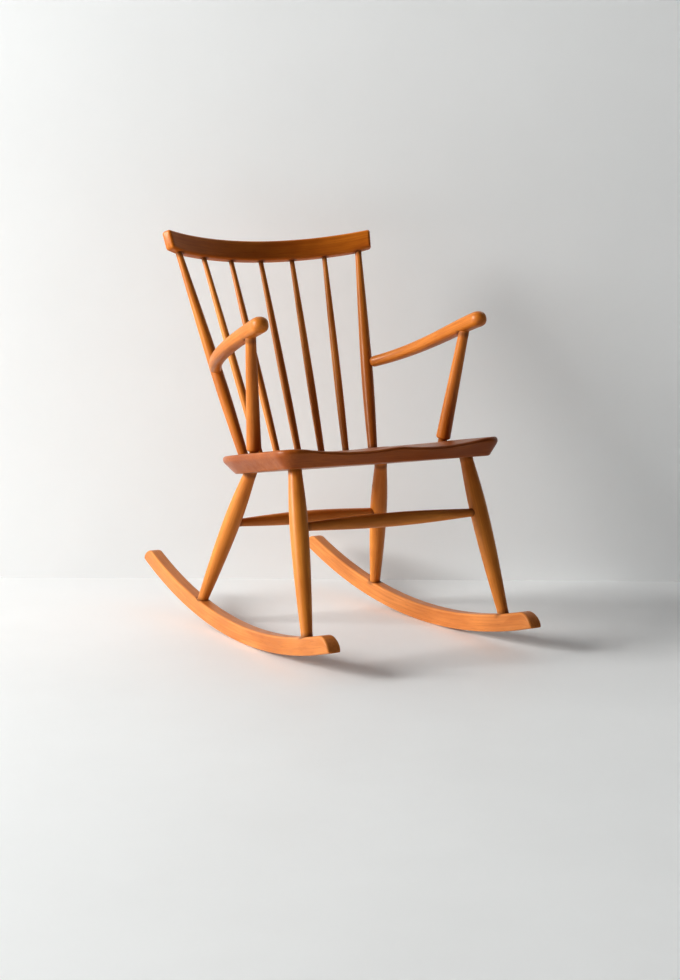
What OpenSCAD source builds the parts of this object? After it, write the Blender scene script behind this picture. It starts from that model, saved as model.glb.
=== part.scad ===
// Low-backed spindle rocking chair, one shared frame.
// Units are millimetres. +Z is up, the sitter faces -Y, +X is the sitter's left side.
// The origin is on the floor, under the middle of the whole chair.

/* [Overall] */
// How far the chair's middle is moved forward so that the origin is central
origin_shift = 91; // [60:1:120]
// Half the distance between the two front leg feet
foot_front_x = 234; // [200:1:270]
// Half the distance between the two rear leg feet
foot_rear_x = 220; // [190:1:250]
// Distance from the mid line of the feet to each row of feet
foot_spread = 248; // [200:1:290]
// Half the distance between the two front legs where they enter the seat
hip_front_x = 204.6; // [170:1:240]
// Half the distance between the two rear legs where they enter the seat
hip_rear_x = 162.4; // [130:1:200]

/* [Rockers] */
// Radius of the rocker's rolling edge
rocker_r = 1393; // [900:1:1600]
// Where the rolling edge touches the floor, behind the middle of the feet
rocker_contact = 36; // [-40:1:90]
// Rocker height, measured along the radius
rocker_h = 37; // [28:0.5:46]
// Rocker thickness from side to side
rocker_w = 29; // [22:0.5:36]
// Rounding of the rocker's long edges
rocker_edge = 5; // [2:0.5:9]
// Angle from the contact point to the front end
rocker_front_deg = 16.6; // [12:0.1:22]
// Angle from the contact point to the rear end
rocker_rear_deg = 21.38; // [16:0.1:28]
// Angle by which the rockers spread towards the front
rocker_toe = 1.48; // [0:0.1:4]
// Half the distance between the rockers at the middle of the feet
rocker_x = 226.8; // [200:1:250]

/* [Legs] */
// Height of the front legs' feet
foot_front_z = 66.2; // [50:0.5:80]
// Height of the rear legs' feet
foot_rear_z = 51.7; // [40:0.5:70]
// Leg diameter at the foot
leg_foot_d = 23.6; // [18:0.2:30]
// Leg diameter at the thickest place
leg_mid_d = 37.6; // [30:0.2:46]
// Leg diameter where it enters the seat
leg_top_d = 28; // [22:0.2:34]
// Place of the thickest part along the leg
leg_belly = 0.65; // [0.4:0.01:0.8]

/* [Stretchers] */
// Place of the front stretcher along the front leg
stretcher_front_at = 0.65; // [0.4:0.01:0.8]
// Place of the rear stretcher along the rear leg
stretcher_rear_at = 0.61; // [0.4:0.01:0.8]
// Stretcher diameter at the middle
stretcher_mid_d = 29; // [20:0.5:36]
// Stretcher diameter at the ends
stretcher_end_d = 17.5; // [12:0.5:24]

/* [Seat] */
// Seat thickness
seat_t = 39; // [30:0.5:50]
// Half the seat's width at the front
seat_half_w = 262; // [220:1:290]
// Distance from the middle of the feet to the front edge
seat_front = 222; // [190:1:250]
// Distance from the middle of the feet to the rear edge
seat_rear = 244; // [210:1:280]
// Radius of the seat's front corners
seat_corner_r = 40; // [20:1:80]
// Depth of the dished middle of the seat
seat_dish = 12; // [4:0.5:18]
// Depth of the two hollows for the thighs
thigh_dip = 13; // [4:0.5:18]
// Width of the bevel under the seat's edge at the sides and the rear
seat_bevel = 24; // [8:0.5:30]
// Width of the bevel under the seat's front edge and corners
seat_front_bevel = 20; // [6:0.5:24]
// Height of the seat's edge above the bevel
seat_band = 12; // [6:0.5:24]

/* [Back] */
// Height of the back posts' tops, under the crest rail
post_top_z = 800; // [740:1:860]
// Half the distance between the back posts at the crest rail
post_top_x = 225.9; // [190:1:260]
// Half the distance between the back posts at the seat
post_low_x = 160.5; // [130:1:190]
// Post diameter at the seat
post_low_d = 21.4; // [16:0.2:28]
// Post diameter at the thickest place
post_mid_d = 27; // [20:0.2:34]
// Post diameter under the crest rail
post_top_d = 14.6; // [10:0.2:20]
// Spindle diameter at the seat
spindle_low_d = 14.8; // [10:0.2:20]
// Spindle diameter at the thickest place
spindle_mid_d = 17.6; // [12:0.2:24]
// Spindle diameter under the crest rail
spindle_top_d = 10.8; // [8:0.2:16]

/* [Crest rail] */
// Radius of the crest rail's curve
crest_r = 508; // [400:1:700]
// Half the angle that the crest rail covers
crest_half_deg = 30.5; // [20:0.1:40]
// Height of the crest rail
crest_h = 47; // [36:0.5:60]
// Thickness of the crest rail
crest_t = 23; // [16:0.5:32]
// Rounding of the crest rail's edges
crest_edge = 6; // [2:0.5:10]

/* [Arms] */
// Height of the arm posts' tops, under the arms
arm_post_top_z = 638; // [590:1:690]
// Arm post diameter at its thickest, just above the seat
arm_post_low_d = 31; // [24:0.5:38]
// Arm post diameter under the arm
arm_post_top_d = 22; // [16:0.5:28]
// Arm width at the front knob
arm_front_w = 37; // [30:0.5:48]
// Arm thickness at the front knob
arm_front_h = 34; // [24:0.5:42]
// Arm width at the rear end
arm_rear_w = 25; // [18:0.5:34]
// Arm thickness at the rear end
arm_rear_h = 24; // [14:0.5:28]
// Length of the rounded front of the knob
arm_nose = 20; // [10:0.5:30]

/* [Hidden] */
$fn = 64;
fit_gap = 0.05;      // clearance between a tenon and its socket
profile_steps = 12;  // straight pieces in each turned profile
ring_sides = 28;     // sides of the arm's section
ring_count = 40;     // rings along the arm
eps = 0.01;
arc_fn = 400;        // fineness of the long arcs

function at_y(p) = [p[0], p[1] - origin_shift, p[2]];
function side(p, s) = [s * p[0], p[1], p[2]];
function mix3(a, b, t) = a + (b - a) * t;
function unit(v) = v / norm(v);

// Seat plane: rises towards the front
hip_front = at_y([hip_front_x, -143.2, 384.8]);
hip_rear = at_y([hip_rear_x, 132.2, 341.1]);
seat_pitch = atan2(hip_front[2] - hip_rear[2], hip_rear[1] - hip_front[1]);
seat_mid = mix3(hip_front, hip_rear, 0.52);

// Structure points on the +X side
foot_front = at_y([foot_front_x, -foot_spread, foot_front_z]);
foot_rear = at_y([foot_rear_x, foot_spread, foot_rear_z]);
post_low = at_y([post_low_x, 164.3, 370.4]);
post_top = at_y([post_top_x, 344.9, post_top_z]);
spindle_low = [at_y([0, 212.8, 360.9]), at_y([55.2, 208.3, 362]), at_y([106.6, 190.4, 364.7])];
spindle_top = [at_y([0, 394.2, 779.6]), at_y([77.2, 389.5, 781.6]), at_y([152.6, 372.9, 788.3])];
arm_post_low = at_y([229.2, -13.9, 405.1]);
arm_post_top = at_y([255.6, -50.5, arm_post_top_z]);

// Arm centre line, from the knob to the back post, as a smooth curve of four control points
arm_path = [at_y([262, -115, 676]), at_y([251.5, -26, 652.5]), at_y([268.5, 112, 596]), at_y([193, 232, 558.5])];

// Joinery: how far each tenon goes in, and the straight collar outside it
seat_in = 22;
rail_in = 18;
leg_housing = 3;
leg_tenon_d = 15;
leg_tenon_in = 21;
stretcher_in = 14;
arm_in = 10;
collar = 10;
neck_d = 19;
neck_rise = 5;
shoulder_r = 4.5;

// Rocker frame
rocker_nose = 36;
rocker_nose_deg = rocker_nose / rocker_r * 180 / PI;

// Crest rail frame
crest_lean = 23.2;
// A hole's cutter starts this far outside the surface it enters
socket_lead = 12;
spindle_belly = 0.32;
post_belly = 0.36;

// Seat plan, in the seat's own plane
side_r = 198;
side_at = [60, 20];
rear_r = 150;
front_r = 42;
front_at = 64;
corner_back = 12;
dish_r = 230;
dish_back = 40;
dip_r = 730;
dip_x = 88;
dip_fade_deg = 3;

wood = [0.80, 0.47, 0.22];
wood_dark = [0.70, 0.38, 0.18];

// Puts a child that stands on the Z axis onto the line from p to q
module along(p, q) {
    d = q - p;
    translate(p) rotate([0, acos(d[2] / norm(d)), atan2(d[1], d[0])]) children();
}

// Radius along a turned member: swells from the low end to the belly, then tapers
function girth(t, low, mid, top, belly, full) =
    t < belly ? low + (mid - low) * sin(90 * t / belly)
    : top + (mid - top) * (full * cos(90 * (t - belly) / (1 - belly)) + (1 - full) * (1 - t) / (1 - belly));

// A turned member from p to q with straight tenons past both ends
module turned(p, q, low_d, mid_d, top_d, belly, full, low_in, top_in, grow = 0) {
    len = norm(q - p);
    run = len - 2 * collar;
    along(p, q) rotate_extrude() polygon(concat(
        [[0, -low_in], [low_d / 2 + grow, -low_in]],
        [for (i = [0 : profile_steps]) [girth(i / profile_steps, low_d, mid_d, top_d, belly, full) / 2 + grow,
            collar + run * i / profile_steps]],
        [[top_d / 2 + grow, len + top_in], [0, len + top_in]]));
}

// The hole for a tenon that enters at p and came from q
module socket(p, q, d, depth) {
    along(p, q) translate([0, 0, -depth]) cylinder(d = d + 2 * fit_gap, h = depth + socket_lead);
}

// A turned leg: thin foot, full belly, reduced tenon into the rocker
module leg(foot, hip) {
    turned(foot, hip, leg_foot_d, leg_mid_d, leg_top_d, leg_belly, 1, leg_housing, seat_in);
    along(foot, hip) translate([0, 0, -leg_tenon_in]) cylinder(d = leg_tenon_d, h = leg_tenon_in);
}

module leg_holes(s) {
    for (ends = [[foot_front, hip_front], [foot_rear, hip_rear]]) {
        foot = side(ends[0], s);
        hip = side(ends[1], s);
        socket(foot, hip, leg_foot_d, leg_housing + fit_gap);
        along(foot, hip) translate([0, 0, -leg_tenon_in - fit_gap])
            cylinder(d = leg_tenon_d + 2 * fit_gap, h = leg_tenon_in);
    }
}

function stretcher_point(s, front) = front
    ? mix3(side(foot_front, s), side(hip_front, s), stretcher_front_at)
    : mix3(side(foot_rear, s), side(hip_rear, s), stretcher_rear_at);

// Leg surface to leg surface, so the tenons end inside the legs
function stretcher_end(s, front) =
    stretcher_point(s, front) - [s * (leg_mid_d / 2 - collar / 4), 0, 0];

module stretcher(front) {
    turned(stretcher_end(-1, front), stretcher_end(1, front), stretcher_end_d, stretcher_mid_d,
        stretcher_end_d, 0.5, 1, stretcher_in, stretcher_in);
}

module stretcher_hole(s, front) {
    a = stretcher_end(s, front);
    socket(a, a - [s * collar, 0, 0], stretcher_end_d, stretcher_in + fit_gap);
}

module leg_node(s, front) {
    difference() {
        leg(side(front ? foot_front : foot_rear, s), side(front ? hip_front : hip_rear, s));
        stretcher_hole(s, front);
    }
}

// Rounded bar section at the given radius, as wide as w and as deep as h towards the axis
module bar_section(r, h, w, edge) {
    translate([r - h, -w / 2 + edge]) square([h, w - 2 * edge]);
    translate([r - h + edge, -w / 2]) square([h - 2 * edge, w]);
    for (x = [r - h + edge, r - edge], y = [-w / 2 + edge, w / 2 - edge]) translate([x, y]) circle(r = edge);
}

// Takes away everything past the quarter round at one end of the rocker
module nose_cutter() {
    difference() {
        translate([rocker_r - 1.2 * rocker_h, -1.5 * rocker_nose, -rocker_w])
            cube([1.4 * rocker_h, 1.5 * rocker_nose, 2 * rocker_w]);
        translate([rocker_r - rocker_h + rocker_nose, 0, -1.5 * rocker_w])
            cylinder(r = rocker_nose + 1, h = 3 * rocker_w, $fn = 96);
    }
}

// A rocker: one even arc with both ends rounded down to the rolling edge
module rocker_body() {
    translate([0, 0, rocker_r]) rotate([0, 90, 0]) difference() {
        rotate([0, 0, -rocker_front_deg])
            rotate_extrude(angle = rocker_front_deg + rocker_rear_deg, $fn = arc_fn)
                bar_section(rocker_r, rocker_h, rocker_w, rocker_edge, $fn = 48);
        rotate([0, 0, rocker_nose_deg - rocker_front_deg]) nose_cutter();
        rotate([0, 0, rocker_rear_deg - rocker_nose_deg]) mirror([0, 1, 0]) nose_cutter();
    }
}

module rocker(s) {
    difference() {
        mirror([s < 0 ? 1 : 0, 0, 0])
            translate(at_y([rocker_x, 0, 0])) rotate([0, 0, rocker_toe])
                translate([0, rocker_contact, 0]) rocker_body();
        leg_holes(s);
    }
}

// Plan of the seat, drawn smaller by one inset in front and another behind
module seat_plan(front_inset, inset) {
    hull() for (s = [-1, 1]) {
        translate([s * (seat_half_w - seat_corner_r), -seat_front + corner_back + seat_corner_r])
            circle(r = seat_corner_r - front_inset);
        translate([s * front_at, -seat_front + front_r]) circle(r = front_r - front_inset);
        translate([s * side_at[0], side_at[1]]) circle(r = side_r - inset);
        translate([0, seat_rear - rear_r]) circle(r = rear_r - inset);
    }
}

module seat_frame() {
    translate(side(seat_mid, 0)) rotate([-seat_pitch, 0, 0]) children();
}

function bowl_r(rim, depth) = (rim * rim + depth * depth) / (2 * depth);

module seat_blank() {
    hull() {
        translate([0, 0, seat_t - seat_band]) linear_extrude(seat_band) seat_plan(0, 0);
        linear_extrude(eps) seat_plan(seat_front_bevel, seat_bevel);
    }
}

module seat() {
    color(wood_dark) difference() {
        seat_frame() difference() {
            seat_blank();
            translate([0, dish_back, seat_t - seat_dish + bowl_r(dish_r, seat_dish)])
                sphere(r = bowl_r(dish_r, seat_dish), $fn = 160);
            for (s = [-1, 1]) translate([s * dip_x, -seat_front, seat_t - thigh_dip + dip_r])
                rotate([dip_fade_deg - 90, 0, 0]) cylinder(r = dip_r, h = 2 * seat_front, center = true, $fn = 120);
        }
        for (s = [-1, 1]) {
            for (ends = [[hip_front, foot_front], [hip_rear, foot_rear]])
                socket(side(ends[0], s), side(ends[1], s), leg_top_d, seat_in + fit_gap);
            socket(side(post_low, s), side(post_top, s), post_low_d, seat_in + fit_gap);
            socket(side(arm_post_low, s), side(arm_post_top, s), neck_d, seat_in + fit_gap);
            for (i = [0 : 2]) socket(side(spindle_low[i], s), side(spindle_top[i], s), spindle_low_d,
                seat_in + fit_gap);
        }
    }
}

module back_post_body(s, grow = 0) {
    turned(side(post_low, s), side(post_top, s), post_low_d, post_mid_d, post_top_d, post_belly, 0.5,
        seat_in, rail_in, grow);
}

// Spindles are numbered from the sitter's right to the left
module back_spindle(number) {
    i = abs(number - 3);
    s = number < 3 ? -1 : 1;
    color(wood) turned(side(spindle_low[i], s), side(spindle_top[i], s), spindle_low_d, spindle_mid_d,
        spindle_top_d, spindle_belly, 0.9, seat_in, rail_in);
}

module crest_rail() {
    color(wood_dark) difference() {
        translate(spindle_top[0]) rotate([-crest_lean, 0, 0])
            translate([0, -crest_r, crest_h / 2]) rotate([0, 0, 90 - crest_half_deg])
                rotate_extrude(angle = 2 * crest_half_deg, $fn = arc_fn)
                    bar_section(crest_r + crest_t / 2, crest_t, crest_h, crest_edge, $fn = 48);
        for (s = [-1, 1]) {
            socket(side(post_top, s), side(post_low, s), post_top_d, rail_in + fit_gap);
            for (i = [0 : 2]) socket(side(spindle_top[i], s), side(spindle_low[i], s), spindle_top_d,
                rail_in + fit_gap);
        }
    }
}

module arm_post(s) {
    p = side(arm_post_low, s);
    q = side(arm_post_top, s);
    len = norm(q - p);
    color(wood) along(p, q) rotate_extrude() polygon(concat(
        [[0, -seat_in], [neck_d / 2, -seat_in], [neck_d / 2, neck_rise],
            [arm_post_low_d / 2 - shoulder_r, neck_rise]],
        [for (i = [1 : 6]) [arm_post_low_d / 2 - shoulder_r * (1 - sin(15 * i)),
            neck_rise + shoulder_r * (1 - cos(15 * i))]],
        [[arm_post_top_d / 2, len - collar], [arm_post_top_d / 2, len + arm_in], [0, len + arm_in]]));
}

// Arm centre line and its direction at t from 0 to 1
function curve(c, t) = pow(1 - t, 3) * c[0] + 3 * pow(1 - t, 2) * t * c[1]
    + 3 * (1 - t) * t * t * c[2] + pow(t, 3) * c[3];
function heading(c, t) = unit(pow(1 - t, 2) * (c[1] - c[0]) + 2 * (1 - t) * t * (c[2] - c[1])
    + t * t * (c[3] - c[2]));
arm_nose_t = arm_nose / 3 / norm(arm_path[1] - arm_path[0]);
arm_tail_t = arm_rear_h / 2 / 3 / norm(arm_path[3] - arm_path[2]);
nose_rings = 7;
// Each stop is the place along the arm and how full the section is there
arm_stops = concat(
    [for (i = [1 : nose_rings]) let (a = 90 * i / nose_rings) [arm_nose_t * (1 - cos(a)), sin(a)]],
    [for (i = [1 : ring_count]) [arm_nose_t + (1 - arm_nose_t - arm_tail_t) * i / ring_count, 1]],
    [for (i = [nose_rings - 1 : -1 : 1]) let (a = 90 * i / nose_rings) [1 - arm_tail_t * (1 - cos(a)), sin(a)]]);
function arm_w(t) = arm_rear_w + (arm_front_w - arm_rear_w) * (1 - t * t);
function arm_h(t) = arm_rear_h + (arm_front_h - arm_rear_h) * (1 - t);
function arm_ring(stop) =
    let (t = stop[0], f = heading(arm_path, t), across = unit([f[1], -f[0], 0]), up = cross(across, f))
    [for (j = [0 : ring_sides - 1]) let (a = 360 * j / ring_sides)
        curve(arm_path, t) + across * (arm_w(t) / 2 * stop[1] * cos(a)) + up * (arm_h(t) / 2 * stop[1] * sin(a))];

module arm_solid() {
    n = ring_sides;
    rings = len(arm_stops);
    last = n * rings + 1;
    polyhedron(
        points = concat([curve(arm_path, 0)], [for (stop = arm_stops) each arm_ring(stop)], [curve(arm_path, 1)]),
        faces = concat(
            [for (j = [0 : n - 1]) [0, 1 + j, 1 + (j + 1) % n]],
            [for (k = [0 : rings - 2], j = [0 : n - 1]) [1 + k * n + j, 1 + (k + 1) * n + j, 1 + k * n + (j + 1) % n]],
            [for (k = [0 : rings - 2], j = [0 : n - 1])
                [1 + k * n + (j + 1) % n, 1 + (k + 1) * n + j, 1 + (k + 1) * n + (j + 1) % n]],
            [for (j = [0 : n - 1]) [last, 1 + (rings - 1) * n + (j + 1) % n, 1 + (rings - 1) * n + j]]));
}

// The arm laps round the front of the back post and sits on the arm post
module arm(s) {
    color(wood) difference() {
        mirror([s < 0 ? 1 : 0, 0, 0]) arm_solid();
        back_post_body(s, fit_gap);
        socket(side(arm_post_top, s), side(arm_post_low, s), arm_post_top_d, arm_in + fit_gap);
    }
}

seat();
color(wood) rocker(1);  // left_rocker
color(wood) rocker(-1);  // right_rocker
color(wood) leg_node(1, true);  // left_front_leg
color(wood) leg_node(-1, true);  // right_front_leg
color(wood) leg_node(1, false);  // left_rear_leg
color(wood) leg_node(-1, false);  // right_rear_leg
color(wood) stretcher(true);  // front_stretcher
color(wood) stretcher(false);  // rear_stretcher
color(wood) back_post_body(1);  // left_back_post
color(wood) back_post_body(-1);  // right_back_post
back_spindle(1);  // back_spindle_1
back_spindle(2);  // back_spindle_2
back_spindle(3);  // back_spindle_3
back_spindle(4);  // back_spindle_4
back_spindle(5);  // back_spindle_5
crest_rail();
arm_post(1);  // left_arm_post
arm_post(-1);  // right_arm_post
arm(1);  // left_arm
arm(-1);  // right_arm
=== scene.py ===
import math

import bpy
import numpy as np
from mathutils import Matrix, Vector


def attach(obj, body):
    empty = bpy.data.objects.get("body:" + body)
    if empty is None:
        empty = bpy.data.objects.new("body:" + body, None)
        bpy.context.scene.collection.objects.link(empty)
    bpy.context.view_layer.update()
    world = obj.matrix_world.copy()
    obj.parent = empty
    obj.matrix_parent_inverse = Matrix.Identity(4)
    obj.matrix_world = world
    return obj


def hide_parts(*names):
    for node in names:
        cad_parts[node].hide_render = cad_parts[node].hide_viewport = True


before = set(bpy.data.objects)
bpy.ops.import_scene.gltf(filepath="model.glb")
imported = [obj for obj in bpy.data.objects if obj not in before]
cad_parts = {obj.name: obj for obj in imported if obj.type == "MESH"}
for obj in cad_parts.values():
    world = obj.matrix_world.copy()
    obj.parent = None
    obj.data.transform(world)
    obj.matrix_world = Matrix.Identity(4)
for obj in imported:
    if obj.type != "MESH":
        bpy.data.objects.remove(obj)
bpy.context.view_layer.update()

# ---------------------------------------------------------------- driving sizes, in metres
SHIFT = 0.091                     # the feet's mid line lies this far in front of the origin

ROCKER_R, ROCKER_H, ROCKER_W = 1.393, 0.037, 0.029
ROCKER_X, ROCKER_CONTACT = 0.2268, 0.036
ROCKER_FRONT, ROCKER_REAR = math.radians(16.6), math.radians(21.38)
ROCKER_TOE = math.radians(1.48)
ROCKER_NOSE = 0.036               # length over which both ends round down to the rolling edge
ROCKER_EDGE = 0.005               # rounding of a rocker's long edges

SEAT_MID = (0.0, -SHIFT, 0.36208)
SEAT_PITCH = math.radians(9.016)
SEAT_T, SEAT_HALF_W, SEAT_FRONT, SEAT_REAR = 0.039, 0.262, 0.222, 0.244
SEAT_BEVEL, SEAT_FRONT_BEVEL, SEAT_BAND, SEAT_ROUND = 0.024, 0.020, 0.012, 0.006
SEAT_CORNER = 0.040
CORNER_BACK = 0.012               # the front corners stand this far behind the middle of the front edge
FRONT_R, FRONT_X = 0.042, 0.064   # the two rounds that make the front edge's straight middle
SIDE_R, SIDE_X, SIDE_Y = 0.198, 0.060, 0.020      # the round of each side, and where its centre lies
REAR_R = 0.150                    # the round of the rear edge
SEAT_RIDGE = 0.0013               # how softly the seat's hollows run into each other
BEVEL_FROM, BEVEL_RUN = 0.19, 0.16   # the bevel widens from here, in front of the middle, over this length
BAND_LEAST = 0.0015               # the upright band of the seat's edge is never narrower than this
DISH_R, DISH_DEPTH, DISH_BACK = 0.230, 0.012, 0.040
DIP_R, DIP_X, DIP_DEPTH, DIP_FADE = 0.730, 0.088, 0.013, math.radians(3)

CREST_MID = (0.0, 0.3942 - SHIFT, 0.7807)
CREST_R, CREST_H, CREST_T = 0.508, 0.047, 0.023
CREST_HALF, CREST_LEAN = math.radians(30.2), math.radians(23.2)
CREST_FLARE = 0.022               # the rail is wider along its top than along its lower edge by this share
CREST_LIFT, CREST_LIFT_RUN = 0.004, 0.045   # at its ends the lower edge rises by this, over this length
CREST_END, CREST_EDGE = 0.006, 0.0065       # rounding of the rail's ends and of its long edges

ARM_PATH = np.array([[0.262, -0.115, 0.676], [0.2515, -0.026, 0.6525],
                     [0.2685, 0.112, 0.596], [0.193, 0.232, 0.5585]]) - [0, SHIFT, 0]
ARM_FRONT, ARM_REAR = (0.037, 0.034), (0.025, 0.024)
ARM_NOSE = 0.020
ARM_SIDE, ARM_UNDER, ARM_TOP = 0.88, 0.72, 0.92   # below 1 that face of the arm is flatter than an ellipse
ARM_WEAR, ARM_WORN_RINGS = 0.7, 30          # wear at the hand, fading over this many rings

SEAT_IN, RAIL_IN, LEG_IN, STRETCHER_IN, ARM_IN = 0.022, 0.018, 0.003, 0.014, 0.010
LEG_TENON = 0.018                 # hidden narrow tenon under each foot

SIDES = 56                        # points round a turned piece or an arm
STEP = 0.004                      # usual spacing of a turned piece's rings, and the gap behind a nose
ROCKER_RINGS, CREST_RINGS, ARM_RINGS = 150, 120, 110     # rings between the ends, two fewer on an arm
ROCKER_END_RINGS, CREST_END_RINGS, ARM_END_RINGS = 16, 9, 16
SEAT_POINTS, SEAT_RINGS, SEAT_ROUND_RINGS = 300, 44, 6   # round the outline, over the top, over the rim
SHADE_AND_DIRT_REACH, SHADE_AND_GRIME_REACH = 0.009, 0.010      # how far the painted joint shade and dirt spread at a joint, beside the member and along it
JOINT_SLACK = 0.004               # the painted shade and dirt also reach this far inside the joint
# the first is the darkest the painted joint shade and dirt get on a turned member
SHADE_AND_GRIME_MOST, BELLY_WEAR = 0.8, 0.35

# name: (hidden length at the low end, at the high end, unseen tenon below that)
TURNED = {"front_stretcher": (STRETCHER_IN, STRETCHER_IN, 0),
          "rear_stretcher": (STRETCHER_IN, STRETCHER_IN, 0)}
for side in ("left", "right"):
    TURNED[side + "_front_leg"] = (LEG_IN, SEAT_IN, LEG_TENON)
    TURNED[side + "_rear_leg"] = (LEG_IN, SEAT_IN, LEG_TENON)
    TURNED[side + "_back_post"] = (SEAT_IN, RAIL_IN, 0)
    TURNED[side + "_arm_post"] = (SEAT_IN, ARM_IN, 0)
for number in range(1, 6):
    TURNED["back_spindle_%d" % number] = (SEAT_IN, RAIL_IN, 0)


# ---------------------------------------------------------------- small maths
def smooth_step(x):
    x = np.clip(x, 0, 1)
    return x * x * (3 - 2 * x)


def unit(v):
    return v / np.linalg.norm(v, axis=-1, keepdims=True)


def hermite(t, r, at):
    """Monotone cubic through the stations (t, r), read at the places in at."""
    h, d = np.diff(t), np.diff(r) / np.diff(t)
    m = np.zeros(len(t))
    same = d[:-1] * d[1:] > 0
    m[1:-1][same] = 2 * d[:-1][same] * d[1:][same] / (d[:-1][same] + d[1:][same])
    i = np.clip(np.searchsorted(t, at) - 1, 0, len(h) - 1)
    u = (at - t[i]) / h[i]
    return ((1 + 2 * u) * (1 - u) ** 2 * r[i] + u * (1 - u) ** 2 * h[i] * m[i]
            + u * u * (3 - 2 * u) * r[i + 1] - u * u * (1 - u) * h[i] * m[i + 1])


def rounded_box(w, h, radius, corner=6, flat=5):
    """Outline of a w by h rectangle with round corners, centred, and how near an edge each point is."""
    points, edge = [], []
    for quarter, (sx, sy) in enumerate(((1, 1), (-1, 1), (-1, -1), (1, -1))):
        cx, cy = sx * (w / 2 - radius), sy * (h / 2 - radius)
        for k in range(corner + 1):
            a = math.pi / 2 * (quarter + k / corner)
            points.append((cx + radius * math.cos(a), cy + radius * math.sin(a)))
            edge.append(math.sin(math.pi * k / corner))
        nx, ny = ((-1, 1), (-1, -1), (1, -1), (1, 1))[quarter]
        if quarter % 2 == 0:
            end = (nx * (w / 2 - radius), ny * h / 2)
        else:
            end = (nx * w / 2, ny * (h / 2 - radius))
        start = points[-1]
        for k in range(1, flat):
            f = k / flat
            points.append((start[0] + (end[0] - start[0]) * f, start[1] + (end[1] - start[1]) * f))
            edge.append(0.0)
    return np.array(points), np.array(edge)


# ---------------------------------------------------------------- mesh making
def build(name, verts, faces, grain, edge, grime_and_shade, material):
    """One piece: grain is the place in the plank, edge says where wear shows, and the last mask says where
    dirt and painted shade at the joints show.
    """
    mesh = bpy.data.meshes.new(name)
    mesh.from_pydata([tuple(v) for v in verts], [], faces)
    for label, kind, data, field in (("grain", "FLOAT_VECTOR", grain, "vector"),
                                     ("edge", "FLOAT", edge, "value"), ("grime_and_shade", "FLOAT", grime_and_shade, "value")):
        layer = mesh.attributes.new(label, kind, "POINT")
        layer.data.foreach_set(field, np.asarray(data, dtype=np.float32).ravel())
    mesh.polygons.foreach_set("use_smooth", [True] * len(mesh.polygons))
    mesh.materials.append(material)
    mesh.update()
    piece = bpy.data.objects.new(name, mesh)
    bpy.context.scene.collection.objects.link(piece)
    return piece


def loft_faces(rings, sides):
    """Quads between closed rings, and a fan at each end; the two end points come after the rings."""
    faces = []
    for k in range(rings - 1):
        for j in range(sides):
            a, b = k * sides + j, k * sides + (j + 1) % sides
            faces.append((a, b, b + sides, a + sides))
    first, last, top = rings * sides, rings * sides + 1, (rings - 1) * sides
    for j in range(sides):
        faces.append((first, (j + 1) % sides, j))
        faces.append((last, top + j, top + (j + 1) % sides))
    return faces


def loft(name, rings, grain, edge, material):
    """A closed piece from an array of rings by sides by 3."""
    count, sides = rings.shape[:2]
    ends = np.array([rings[0].mean(0), rings[-1].mean(0)])
    verts = np.concatenate([rings.reshape(-1, 3), ends])
    grain = np.concatenate([grain.reshape(-1, 3), [grain[0].mean(0), grain[-1].mean(0)]])
    edge = np.concatenate([edge.reshape(-1), [0, 0]])
    return build(name, verts, loft_faces(count, sides), grain, edge, shade_and_dirt_at(verts), material)


def wear_this(piece, node):
    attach(piece, "root")
    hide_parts(node)


# ---------------------------------------------------------------- turned members, read from the frame
LEVEL = 0.3                       # an axis that rises less than this share of its length lies level
END_SLICE = 0.0012                # the points this near an end give its middle
STATION_STEP, STATION_REACH, STATION_GAP = 0.0004, 0.0003, 0.0006
SAME_GIRTH = 0.0004               # rings closer in girth than this are one ring
SHOULDER = 0.0001                 # a step in girth is drawn over this length
RING_POINTS, OFF_CENTRE = 10, 0.3           # a ring has at least so many points, centred on the axis
TENON_R, TENON_STEP = 0.009, 0.002          # what starts thinner than this is tenon until it grows by this


def read_turned(node):
    """Axis ends and girth stations of a turned CAD node."""
    points = np.unique(np.round([tuple(v.co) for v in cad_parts[node].data.vertices], 6), axis=0)
    axis = np.linalg.svd(points - points.mean(0), full_matrices=False)[2][0]
    forward = axis[0] if abs(axis[2]) <= LEVEL else axis[2]
    axis = axis if forward > 0 else -axis
    for _ in range(3):
        along = points @ axis
        low = points[along < along.min() + END_SLICE].mean(0)
        high = points[along > along.max() - END_SLICE].mean(0)
        axis = unit(high - low)
    along = (points - low) @ axis
    outward = points - low - np.outer(along, axis)
    radius = np.linalg.norm(outward, axis=1)
    stations = []
    for place in np.unique(np.round(along / STATION_STEP)):
        near = np.abs(along - place * STATION_STEP) < STATION_REACH
        if stations and along[near].mean() - stations[-1][0] < STATION_GAP:
            continue
        split = (radius[near].max() + radius[near].min()) / 2
        if np.ptp(radius[near]) < SAME_GIRTH:
            split = 0
        found = []
        for ring in (near & (radius > split), near & (radius <= split)):
            if ring.sum() < RING_POINTS:
                continue
            if np.linalg.norm(outward[ring].mean(0)) < OFF_CENTRE * radius[ring].mean():
                found.append((along[ring].mean(), radius[ring].mean()))
        if len(found) == 2:
            before = stations[-1][1] if stations else found[1][1]
            found.sort(key=lambda spot: abs(spot[1] - before))
            found[0] = (found[1][0] - SHOULDER, found[0][1])
        stations += found
    return low, high, axis, np.array(stations)


members = {node: read_turned(node) for node in TURNED}


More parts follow.
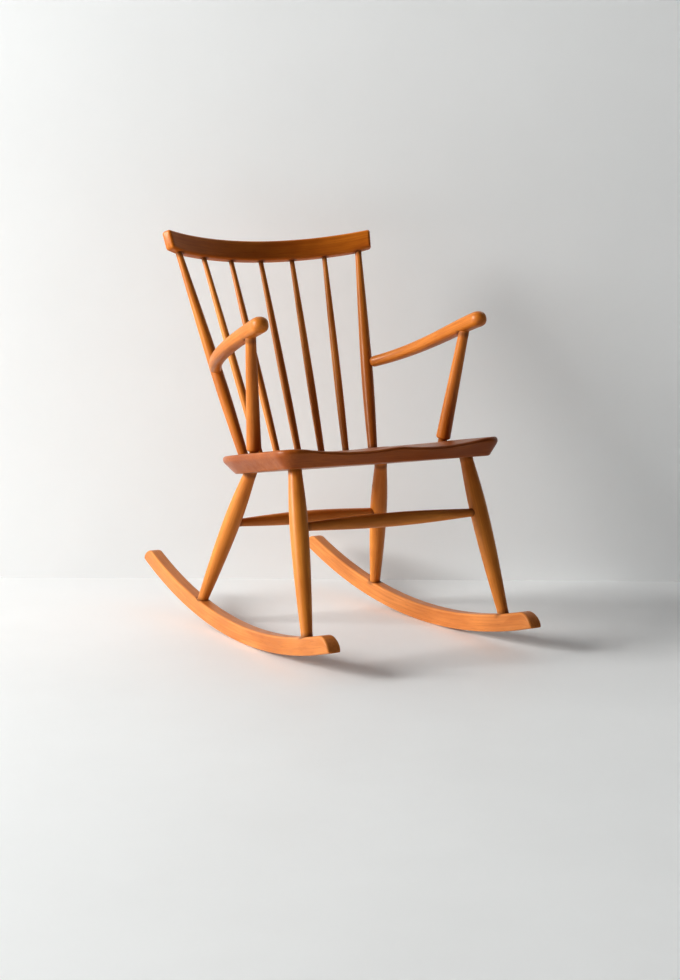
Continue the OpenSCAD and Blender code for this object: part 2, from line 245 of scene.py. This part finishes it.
def shade_and_dirt_at(verts):
    """Painted shade, with some dirt, in the corners where the turned members enter another piece."""
    dark = np.zeros(len(verts))
    for node, (low, high, axis, stations) in members.items():
        along = (verts - low) @ axis
        gap = np.linalg.norm(verts - low - np.outer(along, axis), axis=1)
        gap = gap - np.interp(along, stations[:, 0], stations[:, 1])
        low_in, high_in, tenon = TURNED[node]
        length = np.linalg.norm(high - low)
        inside = (along > low_in + tenon - JOINT_SLACK) & (along < length - high_in + JOINT_SLACK)
        dark = np.maximum(dark, np.where(inside, 1 - smooth_step(gap / SHADE_AND_DIRT_REACH), 0))
    return dark


def turned(node, material):
    low, high, axis, stations = members[node]
    low_in, high_in, tenon = TURNED[node]
    length = np.linalg.norm(high - low)
    kept = stations[stations[:, 0] >= tenon - 2 * SHOULDER]
    if tenon and kept[0, 1] < TENON_R:
        kept = kept[np.argmax(kept[:, 1] > kept[0, 1] + TENON_STEP):]
    places = [kept[0, 0]]
    for a, b in zip(kept[:-1, 0], kept[1:, 0]):
        places += list(np.linspace(a, b, max(2, int((b - a) / STEP) + 1))[1:])
    places = np.array(places)
    girth = hermite(kept[:, 0], kept[:, 1], places)
    across = unit(np.cross(axis, [0.0, 1.0, 0.0]))
    up = np.cross(axis, across)
    turn = np.linspace(0, 2 * math.pi, SIDES, endpoint=False)
    circle = np.cos(turn)[:, None] * across + np.sin(turn)[:, None] * up
    rings = low + places[:, None, None] * axis + girth[:, None, None] * circle
    grain = np.stack([girth[:, None] * np.cos(turn), girth[:, None] * np.sin(turn),
                      places[:, None] + 0 * turn], axis=2)
    seen_low, seen_high = low_in + tenon, length - high_in
    # painted shade, with some dirt, on the member where it enters a joint
    near = np.minimum(np.abs(places - seen_low), np.abs(places - seen_high))
    grime_and_shade = np.repeat(1 - smooth_step(near / SHADE_AND_GRIME_REACH), SIDES) * SHADE_AND_GRIME_MOST
    verts = np.concatenate([rings.reshape(-1, 3), [rings[0].mean(0), rings[-1].mean(0)]])
    flat_grain = np.concatenate([grain.reshape(-1, 3), [grain[0].mean(0), grain[-1].mean(0)]])
    belly = np.repeat(smooth_step((girth - girth.min()) / (np.ptp(girth) + 1e-6)), SIDES)
    piece = build(node, verts, loft_faces(len(places), SIDES), flat_grain,
                  np.concatenate([belly * BELLY_WEAR, [0, 0]]), np.concatenate([grime_and_shade, [0, 0]]), material)
    wear_this(piece, node)


# ---------------------------------------------------------------- rockers
TIP = 0.0003                      # the first and last ring stand this far inside a rocker's ends
NARROWING = 1.4                   # how fast a rocker's width draws in at its ends
LARGEST_ROUND = 0.46              # a corner's radius is at most this share of a side


def end_taper(distance, radius):
    """How much a rounded end draws in at this distance from it."""
    inside = np.clip(1 - distance / radius, 0, 1)
    return radius * (1 - np.sqrt(1 - inside ** 2))


def rocker(side, material):
    total = ROCKER_R * (ROCKER_FRONT + ROCKER_REAR)
    nose = ROCKER_NOSE * (1 - np.sin(np.linspace(0, math.pi / 2, ROCKER_END_RINGS)))[::-1] + TIP
    middle = np.linspace(ROCKER_NOSE + STEP, total - ROCKER_NOSE - STEP, ROCKER_RINGS)
    places = np.concatenate([nose, middle, total - nose[::-1]])
    rings, grain, edges = [], [], []
    for s in places:
        end = min(s, total - s)
        height = ROCKER_H * (1 - (1 - min(1.0, end / ROCKER_NOSE)) ** 2) ** 0.5
        width = ROCKER_W - NARROWING * end_taper(end, ROCKER_EDGE)
        radius = min(ROCKER_EDGE, LARGEST_ROUND * height, LARGEST_ROUND * width)
        shape, edge = rounded_box(width, height, radius)
        angle = s / ROCKER_R - ROCKER_FRONT
        depth = ROCKER_R - height / 2 - shape[:, 1]
        local = np.stack([shape[:, 0], ROCKER_CONTACT + depth * math.sin(angle),
                          ROCKER_R - depth * math.cos(angle)], axis=1)
        c, n = math.cos(ROCKER_TOE), math.sin(ROCKER_TOE)
        x = ROCKER_X + c * local[:, 0] - n * local[:, 1]
        y = -SHIFT + n * local[:, 0] + c * local[:, 1]
        rings.append(np.stack([side * x, y, local[:, 2]], axis=1)[::side])
        grain.append(np.stack([shape[:, 0], shape[:, 1], np.full(len(shape), s)], axis=1)[::side])
        edges.append(edge[::side])
    return loft(NAME[side] + "_rocker", np.array(rings), np.array(grain), np.array(edges), material)


# ---------------------------------------------------------------- crest rail
CREST_TIP = 0.0002                # the outermost ring stands this far inside the rail's end
CREST_INNER = 0.002               # the plain rings begin this far past the rounded end
TUCK_MOST, TUCK_SHARE = 0.004, 0.6          # how the rounding of the long edges shrinks at the rail's ends


def crest_rail(material):
    back = np.array([0, math.cos(CREST_LEAN), -math.sin(CREST_LEAN)])
    up = np.array([0, math.sin(CREST_LEAN), math.cos(CREST_LEAN)])
    length = 2 * CREST_R * CREST_HALF
    ease = np.sin(np.linspace(0, math.pi / 2, CREST_END_RINGS))
    start = CREST_END * (1 - ease[::-1]) + CREST_TIP
    inner = CREST_END + CREST_INNER
    places = np.concatenate([start, np.linspace(inner, length - inner, CREST_RINGS), length - start[::-1]])
    rings, grain, edges = [], [], []
    for s in places:
        tuck = end_taper(min(s, length - s), CREST_END)
        lift = CREST_LIFT * smooth_step(1 - min(s, length - s) / CREST_LIFT_RUN)
        radius = CREST_EDGE - min(tuck, TUCK_MOST) * TUCK_SHARE
        shape, edge = rounded_box(CREST_T - 2 * tuck, CREST_H - lift - 2 * tuck, radius)
        angle = (s / CREST_R - CREST_HALF) * (1 + CREST_FLARE * shape[:, 1] / CREST_H)
        reach = CREST_R + shape[:, 0]
        rise = (CREST_H + lift) / 2 + shape[:, 1]
        ring = (np.array(CREST_MID) - CREST_R * back + (reach * np.sin(angle))[:, None] * [1, 0, 0]
                + (reach * np.cos(angle))[:, None] * back + rise[:, None] * up)
        rings.append(ring[::-1])
        grain.append(np.stack([shape[:, 0], shape[:, 1], np.full(len(shape), s)], axis=1)[::-1])
        edges.append(edge[::-1])
    return loft("crest_rail", np.array(rings), np.array(grain), np.array(edges), material)


# ---------------------------------------------------------------- arms
ARM_TIP = 0.04                    # angle round a rounded end at which its first ring stands


def bezier(path, t):
    """Places and directions along a cubic Bezier curve."""
    t = np.asarray(t)[:, None]
    place = ((1 - t) ** 3 * path[0] + 3 * (1 - t) ** 2 * t * path[1]
             + 3 * (1 - t) * t ** 2 * path[2] + t ** 3 * path[3])
    slope = ((1 - t) ** 2 * (path[1] - path[0]) + 2 * (1 - t) * t * (path[2] - path[1])
             + t ** 2 * (path[3] - path[2]))
    return place, unit(slope)


def arm(side, material):
    nose_t = ARM_NOSE / 3 / np.linalg.norm(ARM_PATH[1] - ARM_PATH[0])
    tail_t = ARM_REAR[1] / 6 / np.linalg.norm(ARM_PATH[3] - ARM_PATH[2])
    turn = np.linspace(ARM_TIP, math.pi / 2, ARM_END_RINGS)
    t = np.concatenate([nose_t * (1 - np.cos(turn)), np.linspace(nose_t, 1 - tail_t, ARM_RINGS)[1:-1],
                        1 - tail_t * (1 - np.cos(turn[::-1]))])
    full = np.concatenate([np.sin(turn), np.ones(ARM_RINGS - 2), np.sin(turn[::-1])])
    place, ahead = bezier(ARM_PATH, t)
    across = unit(np.stack([ahead[:, 1], -ahead[:, 0], 0 * t], axis=1))
    up = np.cross(across, ahead)
    width = ARM_REAR[0] + (ARM_FRONT[0] - ARM_REAR[0]) * (1 - t * t)
    height = ARM_REAR[1] + (ARM_FRONT[1] - ARM_REAR[1]) * (1 - t)
    a = np.linspace(0, 2 * math.pi, SIDES, endpoint=False)
    cx = np.sign(np.cos(a)) * np.abs(np.cos(a)) ** ARM_SIDE
    cy = np.sign(np.sin(a)) * np.abs(np.sin(a)) ** np.where(np.sin(a) < 0, ARM_UNDER, ARM_TOP)
    rings = (place[:, None] + across[:, None] * (width * full / 2)[:, None, None] * cx[None, :, None]
             + up[:, None] * (height * full / 2)[:, None, None] * cy[None, :, None])
    s = np.concatenate([[0], np.cumsum(np.linalg.norm(np.diff(place, axis=0), axis=1))])
    grain = np.stack([np.outer(width * full / 2, cx), np.outer(height * full / 2, cy),
                      np.repeat(s[:, None], SIDES, 1)], axis=2)
    edges = np.repeat(smooth_step(1 - np.arange(len(t)) / ARM_WORN_RINGS)[:, None], SIDES, 1) * ARM_WEAR
    rings = rings * [side, 1, 1]
    order = slice(None, None, -side)
    return loft(NAME[side] + "_arm", rings[:, order], grain[:, order], edges, material)


# ---------------------------------------------------------------- seat
PLAN_STEPS = 2880                 # directions in which the outline is first traced
UNDERSIDE = (0.3, 0.6, 0.85)      # rings on the flat underside, as shares of its size
LOWER_EDGE = ((0.004, 0.0, 0.0), (0.0014, 0.0003, 0.5),     # how far in, how high, how worn
              (-0.0008, 0.0012, 1.0), (-0.0026, 0.0030, 0.4))
BEVEL_RINGS = (0.3, 0.5, 0.7, 0.85)         # rings up the bevel, as shares of its width
KNEE = ((0.0012, -0.0008), (0.0002, 0.0014))    # where bevel meets band: how far in, how high
BAND_RINGS = (0.35, 0.7)
KNEE_WEAR, BAND_WEAR = 0.4, 0.1
TOP_POWER, TOP_HOLE = 1.05, 0.6   # the top's rings crowd a little to the rim, and stop short of the middle
PLANK_BOW = 0.004                 # the grain bows down by this share of the distance from the middle


def seat_plan(count):
    """The seat's outline and its outward direction, in the seat's own plane, evenly spaced."""
    corner_y = -SEAT_FRONT + CORNER_BACK + SEAT_CORNER
    circles = [(sx * (SEAT_HALF_W - SEAT_CORNER), corner_y, SEAT_CORNER) for sx in (1, -1)]
    circles += [(sx * FRONT_X, -SEAT_FRONT + FRONT_R, FRONT_R) for sx in (1, -1)]
    circles += [(sx * SIDE_X, SIDE_Y, SIDE_R) for sx in (1, -1)]
    circles += [(0.0, SEAT_REAR - REAR_R, REAR_R)]
    turn = np.linspace(0, 2 * math.pi, PLAN_STEPS)
    out = np.stack([np.cos(turn), np.sin(turn)], axis=1)
    discs = np.array(circles)
    best = np.argmax(out @ discs[:, :2].T + discs[:, 2], axis=1)
    place = discs[best, :2] + discs[best, 2:3] * out
    run = np.concatenate([[0], np.cumsum(np.linalg.norm(np.diff(place, axis=0), axis=1))])
    even = np.linspace(0, run[-1], count, endpoint=False)
    keep = np.concatenate([[True], np.diff(run) > 1e-9])
    angle = np.interp(even, run[keep], turn[keep])
    spot = np.stack([np.interp(even, run[keep], place[keep, k]) for k in (0, 1)], axis=1)
    return spot, np.stack([np.cos(angle), np.sin(angle)], axis=1)


def seat_top(x, y):
    """Height of the sculpted top over the seat's underside."""
    dish = DISH_DEPTH * (1 - (x * x + (y - DISH_BACK) ** 2) / DISH_R ** 2)
    deepest = DIP_DEPTH - (y + SEAT_FRONT) * math.tan(DIP_FADE)
    hollows = [dish] + [deepest - (x - s * DIP_X) ** 2 / (2 * DIP_R) for s in (1, -1)]
    depth = np.log(1 + sum(np.exp(h / SEAT_RIDGE) for h in hollows)) * SEAT_RIDGE
    return SEAT_T - depth


def seat(material):
    spot, out = seat_plan(SEAT_POINTS)
    widening = smooth_step((spot[:, 1] + BEVEL_FROM) / BEVEL_RUN)
    bevel = (SEAT_FRONT_BEVEL + (SEAT_BEVEL - SEAT_FRONT_BEVEL) * widening)[:, None]
    brim = spot - SEAT_ROUND * out
    top = seat_top(brim[:, 0], brim[:, 1])
    knee = np.minimum(SEAT_T - SEAT_BAND, top - SEAT_ROUND - BAND_LEAST)
    layers = []
    for f in UNDERSIDE:
        layers.append(((spot - (bevel + LOWER_EDGE[0][0]) * out) * f, 0 * top, 0.0))
    for inset, height, worn in LOWER_EDGE:
        layers.append((spot - (bevel + inset) * out, 0 * top + height, worn))
    for f in BEVEL_RINGS:
        layers.append((spot - bevel * (1 - f) * out, knee * f, 0.0))
    for inset, height in KNEE:
        layers.append((spot - inset * out, knee + height, KNEE_WEAR))
    band_low = knee + KNEE[1][1]
    for f in BAND_RINGS:
        layers.append((spot, band_low + (top - SEAT_ROUND - band_low) * f, BAND_WEAR))
    for k in range(SEAT_ROUND_RINGS + 1):
        a = math.pi / 2 * k / SEAT_ROUND_RINGS
        layers.append((spot - SEAT_ROUND * (1 - math.cos(a)) * out, top - SEAT_ROUND * (1 - math.sin(a)),
                       math.sin(2 * a) if k < SEAT_ROUND_RINGS else 0.0))
    for k in range(1, SEAT_RINGS + 1):
        p = brim * (1 - (k / (SEAT_RINGS + TOP_HOLE)) ** TOP_POWER)
        layers.append((p, seat_top(p[:, 0], p[:, 1]), 0.0))
    plan = np.array([np.column_stack([p, h]) for p, h, _ in layers])
    edge = np.repeat(np.array([worn for _, _, worn in layers])[:, None], SEAT_POINTS, 1)
    c, n = math.cos(SEAT_PITCH), math.sin(SEAT_PITCH)
    rings = np.stack([plan[..., 0], c * plan[..., 1] + n * plan[..., 2] + SEAT_MID[1],
                      -n * plan[..., 1] + c * plan[..., 2] + SEAT_MID[2]], axis=2)
    bowed = plan[..., 2] - PLANK_BOW * np.abs(plan[..., 0])
    grain = np.stack([plan[..., 1], bowed, plan[..., 0]], axis=2)
    return loft("seat", rings, grain, edge, material)


# ---------------------------------------------------------------- wood
COLOUR_A, COLOUR_B, COLOUR_OUT = 6, 7, 2    # the colour sockets of a Mix node
# the colour of the painted joint shade and dirt
SHADE_AND_DIRT_BROWN = (0.10, 0.035, 0.012)
BAND_COUNT = 7.0                  # year rings over the growth pattern's whole range
# the last share is how strongly the painted joint shade and dirt darken the wood
BAND_SHARE, FIBRE_SHARE, FLECK_SHARE, SHADE_AND_DIRT_SHARE = 0.46, 0.46, 0.34, 0.72
LIGHTER, DARKER = (1.22, 1.38, 1.6), (0.66, 0.52, 0.42)
SEED_MOVE = (0.37, 0.21, 0.53)
GROWTH_ALONG = 2.2
# how fine each pattern is, across the grain twice and then along it
FIBRE, PORES, CLOUD, SMEAR = (300, 300, 7), (520, 520, 42), (11, 11, 5), (60, 60, 22)
GRIME_ROUGH = 0.15
BUMP_STRENGTH, BUMP_HEIGHT = 0.16, 0.0004
SHINE, COAT, COAT_ROUGH = 0.26, 0.12, 0.24


class Graph:
    """A short way to write a node tree."""

    def __init__(self, name):
        self.material = bpy.data.materials.new(name)
        self.material.use_nodes = True
        self.tree = self.material.node_tree
        self.shader = self.tree.nodes["Principled BSDF"]

    def add(self, kind, inputs=(), **settings):
        node = self.tree.nodes.new(kind)
        for key, value in settings.items():
            setattr(node, key, value)
        for key, value in dict(inputs).items():
            if isinstance(value, bpy.types.NodeSocket):
                self.tree.links.new(value, node.inputs[key])
            else:
                node.inputs[key].default_value = value
        return node

    def attribute(self, name, output):
        return self.add("ShaderNodeAttribute", attribute_name=name).outputs[output]

    def stretched(self, vector, scale, move):
        return self.add("ShaderNodeMapping", {"Vector": vector, "Scale": scale, "Location": move}).outputs[0]

    def noise(self, vector, scale=1.0, detail=3.0, rough=0.5, distort=0.0):
        return self.add("ShaderNodeTexNoise", {"Vector": vector, "Scale": scale, "Detail": detail,
                                               "Roughness": rough, "Distortion": distort}).outputs[0]

    def math(self, operation, a, b=0.0):
        return self.add("ShaderNodeMath", {0: a, 1: b}, operation=operation).outputs[0]

    def remap(self, value, low, high, to_low=0.0, to_high=1.0):
        return self.add("ShaderNodeMapRange", {"Value": value, "From Min": low, "From Max": high,
                                               "To Min": to_low, "To Max": to_high}).outputs[0]

    def mix(self, factor, a, b):
        node = self.add("ShaderNodeMix", data_type="RGBA")
        for socket, value in zip((0, COLOUR_A, COLOUR_B), (factor, a, b)):
            if isinstance(value, bpy.types.NodeSocket):
                self.tree.links.new(value, node.inputs[socket])
            else:
                node.inputs[socket].default_value = value
        return node.outputs[COLOUR_OUT]


def tone(colour, gain=1.0):
    return (colour[0] * gain, colour[1] * gain, colour[2] * gain, 1.0)


def wood(name, body, seed, ring_scale=34.0, gloss=0.36):
    """Lacquered fine-grained hardwood; each piece is cut from its own part of the plank."""
    g = Graph(name)
    light = tuple(min(1, part * gain) for part, gain in zip(body, LIGHTER))
    dark = tuple(part * gain for part, gain in zip(body, DARKER))
    grain = g.attribute("grain", "Vector")
    move = tuple(step * seed for step in SEED_MOVE)
    drawn_out = g.stretched(grain, (ring_scale, ring_scale, GROWTH_ALONG), move)
    growth = g.noise(drawn_out, detail=2.0, rough=0.45, distort=0.6)
    bands = g.math("FRACT", g.math("MULTIPLY", growth, BAND_COUNT))
    bands = g.remap(bands, 0.0, 1.0, to_low=0.15, to_high=0.85)
    fibre = g.noise(g.stretched(grain, FIBRE, move), detail=4.0, rough=0.62)
    pores = g.noise(g.stretched(grain, PORES, move), detail=1.0, rough=0.4)
    flecks = g.remap(pores, low=0.64, high=0.74)
    cloud = g.noise(g.stretched(grain, CLOUD, move), detail=3.0, rough=0.55)
    colour = g.mix(g.remap(cloud, 0.36, 0.64), tone(body, 0.84), tone(light))
    colour = g.mix(g.math("MULTIPLY", bands, BAND_SHARE), colour, tone(dark, 1.15))
    colour = g.mix(g.math("MULTIPLY", g.remap(fibre, 0.38, 0.66), FIBRE_SHARE), colour, tone(dark))
    colour = g.mix(g.math("MULTIPLY", flecks, FLECK_SHARE), colour, tone(dark, 0.8))
    worn = g.math("MULTIPLY", g.attribute("edge", "Fac"), g.remap(cloud, 0.35, 0.65, 0.25, 0.60))
    colour = g.mix(worn, colour, tone(light, 1.06))
    # the joints darkened: painted shade with some dirt
    shade_and_dirt = g.math("MULTIPLY", g.attribute("grime_and_shade", "Fac"), SHADE_AND_DIRT_SHARE)
    colour = g.mix(shade_and_dirt, colour, tone(SHADE_AND_DIRT_BROWN))
    smear = g.noise(g.stretched(grain, SMEAR, move), detail=3.0, rough=0.6)
    rough = g.remap(smear, 0.3, 0.7, gloss - 0.05, gloss + 0.11)
    rough = g.math("ADD", rough, g.math("MULTIPLY", g.attribute("grime_and_shade", "Fac"), GRIME_ROUGH))
    height = g.math("ADD", g.math("MULTIPLY", fibre, 0.5), g.math("MULTIPLY", flecks, -0.6))
    bump = g.add("ShaderNodeBump", {"Strength": BUMP_STRENGTH, "Distance": BUMP_HEIGHT, "Height": height})
    links = g.tree.links
    links.new(colour, g.shader.inputs["Base Color"])
    links.new(rough, g.shader.inputs["Roughness"])
    links.new(bump.outputs[0], g.shader.inputs["Normal"])
    g.shader.inputs["Specular IOR Level"].default_value = SHINE
    g.shader.inputs["Coat Weight"].default_value = COAT
    g.shader.inputs["Coat Roughness"].default_value = COAT_ROUGH
    return g.material


# ---------------------------------------------------------------- the chair
HONEY = (0.67, 0.236, 0.038)
PEACH = (0.60, 0.208, 0.046)
AMBER = (0.58, 0.184, 0.024)
# the seat's wood: a redder tone, darkened further as painted shade for its shaded front edge
SHADED_RUSSET = (0.34, 0.086, 0.011)
RAIL_TONE = (0.60, 0.172, 0.014)
NAME = {1: "left", -1: "right"}

# the number given to each wood picks its own part of the plank
for order, node in enumerate(TURNED):
    body = AMBER if "post" in node else HONEY
    turned(node, wood("wood_" + node, body, 3 + order, ring_scale=46.0))
for side in (1, -1):
    rocker_wood = wood("wood_%s_rocker" % NAME[side], PEACH, 31 + side)
    wear_this(rocker(side, rocker_wood), NAME[side] + "_rocker")
    wear_this(arm(side, wood("wood_%s_arm" % NAME[side], AMBER, 41 + side)), NAME[side] + "_arm")
wear_this(crest_rail(wood("wood_crest_rail", RAIL_TONE, 51)), "crest_rail")
wear_this(seat(wood("wood_seat", SHADED_RUSSET, 61, ring_scale=20.0, gloss=0.33)), "seat")

# ---------------------------------------------------------------- stage, light and camera
VIEW_TURN, VIEW_DROP, VIEW_ROLL = math.radians(-30.0), math.radians(8.217), math.radians(0.347)
VIEW_FROM = Vector((-2.0396, -3.5020 - SHIFT, 0.8961))
SENSOR, FOCAL = 36.0, 71.08       # in millimetres
WALL_AT = 0.54                    # the wall stands this far behind the origin, seen from the camera
FLOOR_PAINT, WALL_PAINT = (0.90, 0.912, 0.912), (0.93, 0.945, 0.945)
REACH, TALL, DEEP = 7.0, 5.0, 9   # half width of floor and wall, the wall's height, the floor's half depth
WINDOW_ASIDE, WINDOW_NEARER, WINDOW_UP = 7.2, 2.2, 3.3    # from the origin: left, towards the camera, up
DAYLIGHT, SKY, SKY_POWER = (1.0, 0.995, 0.98), (0.93, 0.95, 1.0, 1.0), 0.07


def plain(name, colour, rough, scale):
    g = Graph(name)
    where = g.add("ShaderNodeTexCoord").outputs["Object"]
    patch = g.noise(where, scale, detail=4.0, rough=0.6)
    paint = g.mix(g.remap(patch, 0.3, 0.7), tone(colour, 0.965), tone(colour))
    g.tree.links.new(paint, g.shader.inputs["Base Color"])
    g.tree.links.new(g.remap(patch, 0.3, 0.7, rough - 0.05, rough + 0.05), g.shader.inputs["Roughness"])
    return g.material


def sheet_of(name, corners, material):
    mesh = bpy.data.meshes.new(name)
    mesh.from_pydata(corners, [], [(0, 1, 2, 3)])
    mesh.materials.append(material)
    card = bpy.data.objects.new(name, mesh)
    bpy.context.scene.collection.objects.link(card)
    return card


def one_sided(material):
    """The wall shows only its front, so that the chair can also be looked at from behind it."""
    nodes, links = material.node_tree.nodes, material.node_tree.links
    output = next(n for n in nodes if n.bl_idname == "ShaderNodeOutputMaterial")
    painted = output.inputs["Surface"].links[0].from_socket
    choose = nodes.new("ShaderNodeMixShader")
    links.new(nodes.new("ShaderNodeNewGeometry").outputs["Backfacing"], choose.inputs[0])
    links.new(painted, choose.inputs[1])
    links.new(nodes.new("ShaderNodeBsdfTransparent").outputs[0], choose.inputs[2])
    links.new(choose.outputs[0], output.inputs["Surface"])
    return material


ahead = Vector((-math.sin(VIEW_TURN), math.cos(VIEW_TURN), 0))
right = Vector((math.cos(VIEW_TURN), math.sin(VIEW_TURN), 0))
far, side_by, deep, up = ahead * WALL_AT, right * REACH, ahead * DEEP, Vector((0, 0, TALL))
sheet_of("floor", [far + deep - side_by, far - deep - side_by, far - deep + side_by, far + deep + side_by],
         plain("pale_floor", FLOOR_PAINT, rough=0.55, scale=2.0))
wall = sheet_of("backdrop", [far - side_by, far + side_by, far + side_by + up, far - side_by + up],
                one_sided(plain("pale_wall", WALL_PAINT, rough=0.8, scale=1.5)))
wall.visible_shadow = False


def lamp(name, at, aim, size, power, colour):
    data = bpy.data.lights.new(name, "AREA")
    data.shape, data.size, data.size_y = "RECTANGLE", size[0], size[1]
    data.energy, data.color = power, colour
    light = bpy.data.objects.new(name, data)
    light.location = at
    light.rotation_euler = (Vector(aim) - Vector(at)).to_track_quat("-Z", "Y").to_euler()
    bpy.context.scene.collection.objects.link(light)


window_at = -right * WINDOW_ASIDE - ahead * WINDOW_NEARER + Vector((0, 0, WINDOW_UP))
lamp("window", window_at, aim=(0, 0, 0.35), size=(3.4, 3.2), power=735, colour=DAYLIGHT)
world = bpy.data.worlds.new("studio")
world.use_nodes = True
sky = world.node_tree.nodes["Background"]
sky.inputs["Color"].default_value = SKY
sky.inputs["Strength"].default_value = SKY_POWER
bpy.context.scene.world = world
bpy.context.scene.view_settings.view_transform = "Standard"
bpy.context.scene.view_settings.look = "Medium High Contrast"

back = Vector((math.sin(VIEW_TURN) * math.cos(VIEW_DROP), -math.cos(VIEW_TURN) * math.cos(VIEW_DROP),
               math.sin(VIEW_DROP)))
level_up = back.cross(right)
c, n = math.cos(VIEW_ROLL), math.sin(VIEW_ROLL)
cam_right, cam_up = right * c + level_up * n, level_up * c - right * n
camera_data = bpy.data.cameras.new("camera")
camera_data.sensor_width, camera_data.lens = SENSOR, FOCAL
camera = bpy.data.objects.new("camera", camera_data)
camera.matrix_world = Matrix((cam_right, cam_up, back)).transposed().to_4x4()
camera.location = VIEW_FROM
bpy.context.scene.collection.objects.link(camera)
bpy.context.scene.camera = camera
